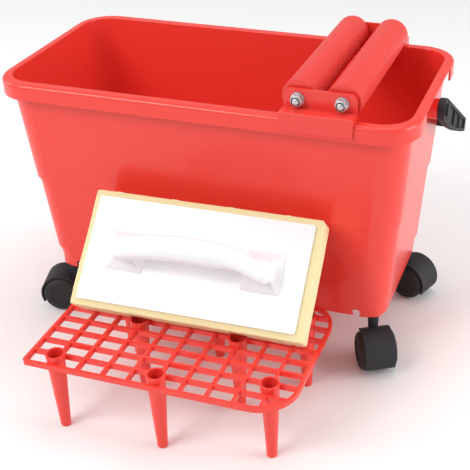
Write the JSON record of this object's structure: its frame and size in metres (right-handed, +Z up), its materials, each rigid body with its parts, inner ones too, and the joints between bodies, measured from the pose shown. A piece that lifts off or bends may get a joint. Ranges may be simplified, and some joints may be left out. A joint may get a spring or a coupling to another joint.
{
  "type": "wheeled wash bucket with roller wringer",
  "caption": "Wheeled rectangular wash bucket with clip-on roller wringer, folding bail, drip grid on legs and a sponge float leaning on it.",
  "frame": {"origin": "middle of the whole set's outline on the floor", "axes": "+X along the long side towards the wringer end, +Y from the grid and float towards the tub's far side, +Z up"},
  "size_m": [0.566, 0.4856, 0.3856],
  "materials": {
    "tub_red": "injection moulded polypropylene, satin gloss",
    "wringer_red": "injection moulded polypropylene, satin gloss",
    "grid_red": "injection moulded polypropylene, glossy",
    "moulded_black": "fine textured nylon",
    "wheel_black": "smooth nylon",
    "float_white": "moulded ABS, satin",
    "sponge_foam": "open cell hydro foam",
    "zinc_steel": "bright zinc plated"
  },
  "bodies": {
    "tub_unit": {"tub": "tub_red", "bail_pivots": "moulded_black", "castor_stems": "zinc_steel", "castor_sleeves": "moulded_black"},
    "bail": {"bail_handle": "moulded_black"},
    "castor_front_left": {"castor_front_left_housing": "moulded_black", "castor_front_left_axle": "zinc_steel"},
    "castor_front_left_wheel_a": {"castor_front_left_wheel_a": "wheel_black"},
    "castor_front_left_wheel_b": {"castor_front_left_wheel_b": "wheel_black"},
    "castor_front_right": {"castor_front_right_housing": "moulded_black", "castor_front_right_axle": "zinc_steel"},
    "castor_front_right_wheel_a": {"castor_front_right_wheel_a": "wheel_black"},
    "castor_front_right_wheel_b": {"castor_front_right_wheel_b": "wheel_black"},
    "castor_rear_left": {"castor_rear_left_housing": "moulded_black", "castor_rear_left_axle": "zinc_steel"},
    "castor_rear_left_wheel_a": {"castor_rear_left_wheel_a": "wheel_black"},
    "castor_rear_left_wheel_b": {"castor_rear_left_wheel_b": "wheel_black"},
    "castor_rear_right": {"castor_rear_right_housing": "moulded_black", "castor_rear_right_axle": "zinc_steel"},
    "castor_rear_right_wheel_a": {"castor_rear_right_wheel_a": "wheel_black"},
    "castor_rear_right_wheel_b": {"castor_rear_right_wheel_b": "wheel_black"},
    "wringer": {"wringer_front_bracket": "wringer_red", "wringer_rear_bracket": "wringer_red", "wringer_rods": "zinc_steel", "wringer_washers": "zinc_steel", "wringer_nuts": "zinc_steel"},
    "roller_left": {"wringer_roller_left": "wringer_red", "wringer_plugs_left": "wringer_red"},
    "roller_right": {"wringer_roller_right": "wringer_red", "wringer_plugs_right": "wringer_red"},
    "grid": {"drip_grid": "grid_red"},
    "float": {"float_sponge": "sponge_foam", "float_plate": "float_white", "float_handle": "float_white"}
  },
  "joints": [
    {"name": "bail_swing", "type": "hinge", "parent": "tub_unit", "child": "bail", "pos_m": [0, 0.08951, 0.319], "axis": [1, 0, 0], "range_deg": [0, 231]},
    {"name": "castor_front_left_swivel", "type": "hinge", "parent": "tub_unit", "child": "castor_front_left", "pos_m": [-0.213, 0.00451, 0.0545], "axis": [0, 0, 1], "continuous": true},
    {"name": "castor_front_left_wheel_a_roll", "type": "hinge", "parent": "castor_front_left", "child": "castor_front_left_wheel_a", "pos_m": [-0.22934, -0.00018, 0.025], "axis": [0.2756, -0.9613, 0], "continuous": true},
    {"name": "castor_front_left_wheel_b_roll", "type": "hinge", "parent": "castor_front_left", "child": "castor_front_left_wheel_b", "pos_m": [-0.22934, -0.00018, 0.025], "axis": [0.2756, -0.9613, 0], "continuous": true},
    {"name": "castor_front_right_swivel", "type": "hinge", "parent": "tub_unit", "child": "castor_front_right", "pos_m": [0.213, 0.00451, 0.0545], "axis": [0, 0, 1], "continuous": true},
    {"name": "castor_front_right_wheel_a_roll", "type": "hinge", "parent": "castor_front_right", "child": "castor_front_right_wheel_a", "pos_m": [0.22098, -0.0105, 0.025], "axis": [0.8829, 0.4695, 0], "continuous": true},
    {"name": "castor_front_right_wheel_b_roll", "type": "hinge", "parent": "castor_front_right", "child": "castor_front_right_wheel_b", "pos_m": [0.22098, -0.0105, 0.025], "axis": [0.8829, 0.4695, 0], "continuous": true},
    {"name": "castor_rear_left_swivel", "type": "hinge", "parent": "tub_unit", "child": "castor_rear_left", "pos_m": [-0.213, 0.17451, 0.0545], "axis": [0, 0, 1], "continuous": true},
    {"name": "castor_rear_left_wheel_a_roll", "type": "hinge", "parent": "castor_rear_left", "child": "castor_rear_left_wheel_a", "pos_m": [-0.22018, 0.18992, 0.025], "axis": [-0.9063, -0.4226, 0], "continuous": true},
    {"name": "castor_rear_left_wheel_b_roll", "type": "hinge", "parent": "castor_rear_left", "child": "castor_rear_left_wheel_b", "pos_m": [-0.22018, 0.18992, 0.025], "axis": [-0.9063, -0.4226, 0], "continuous": true},
    {"name": "castor_rear_right_swivel", "type": "hinge", "parent": "tub_unit", "child": "castor_rear_right", "pos_m": [0.213, 0.17451, 0.0545], "axis": [0, 0, 1], "continuous": true},
    {"name": "castor_rear_right_wheel_a_roll", "type": "hinge", "parent": "castor_rear_right", "child": "castor_rear_right_wheel_a", "pos_m": [0.22898, 0.16869, 0.025], "axis": [0.342, 0.9397, 0], "continuous": true},
    {"name": "castor_rear_right_wheel_b_roll", "type": "hinge", "parent": "castor_rear_right", "child": "castor_rear_right_wheel_b", "pos_m": [0.22898, 0.16869, 0.025], "axis": [0.342, 0.9397, 0], "continuous": true},
    {"name": "wringer_lift", "type": "slide", "parent": "tub_unit", "child": "wringer", "axis": [0, 0, 1], "range_m": [0, 0.12]},
    {"name": "roller_left_spin", "type": "hinge", "parent": "wringer", "child": "roller_left", "pos_m": [0.12795, 0.08951, 0.3648], "axis": [0, 1, 0], "continuous": true},
    {"name": "roller_right_spin", "type": "hinge", "parent": "wringer", "child": "roller_right", "pos_m": [0.17965, 0.08951, 0.3648], "axis": [0, 1, 0], "continuous": true},
    {"name": "grid_slide", "type": "slide", "parent": "tub_unit", "child": "grid", "axis": [0, -1, 0], "range_m": [0, 0.25]},
    {"name": "float_lift", "type": "slide", "parent": "grid", "child": "float", "axis": [0.015, -0.7143, 0.6997], "range_m": [0, 0.2]}
  ]
}
